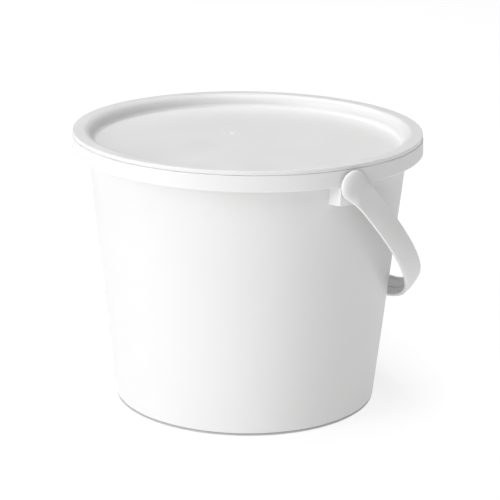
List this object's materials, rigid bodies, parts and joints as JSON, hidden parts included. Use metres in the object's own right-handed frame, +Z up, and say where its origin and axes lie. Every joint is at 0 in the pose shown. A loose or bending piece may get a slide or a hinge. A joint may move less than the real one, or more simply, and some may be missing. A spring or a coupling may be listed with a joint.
{
  "type": "fermenting bucket",
  "caption": "Tapered round plastic bucket with a down-turned rim collar, a dished push-in lid with a seal, and a moulded swinging bail handle.",
  "frame": {"origin": "centre of the foot ring's underside, on the bucket's axis", "axes": "+Z up along the bucket's axis; the bail's pivot line is parallel to Y at a height of 213.9 mm; at rest the bail hangs towards +X"},
  "size_m": [0.2918, 0.304, 0.23],
  "materials": {
    "bucket_plastic": "smooth satin white moulded plastic, slightly translucent",
    "lid_plastic": "smooth satin white moulded plastic",
    "bail_plastic": "smooth satin white moulded plastic",
    "seal_rubber": "soft pale seal ring"
  },
  "bodies": {
    "bucket": {"bucket": "bucket_plastic"},
    "lid": {"lid": "lid_plastic", "lid_seal": "seal_rubber"},
    "bail": {"bail_handle": "bail_plastic"}
  },
  "joints": [
    {"name": "bail_swing", "type": "hinge", "parent": "bucket", "child": "bail", "pos_m": [0, 0, 0.2139], "axis": [0, -1, 0], "range_deg": [0, 273.6]},
    {"name": "lid_lift", "type": "slide", "parent": "bucket", "child": "lid", "axis": [0, 0, 1], "range_m": [0, 0.15]}
  ]
}
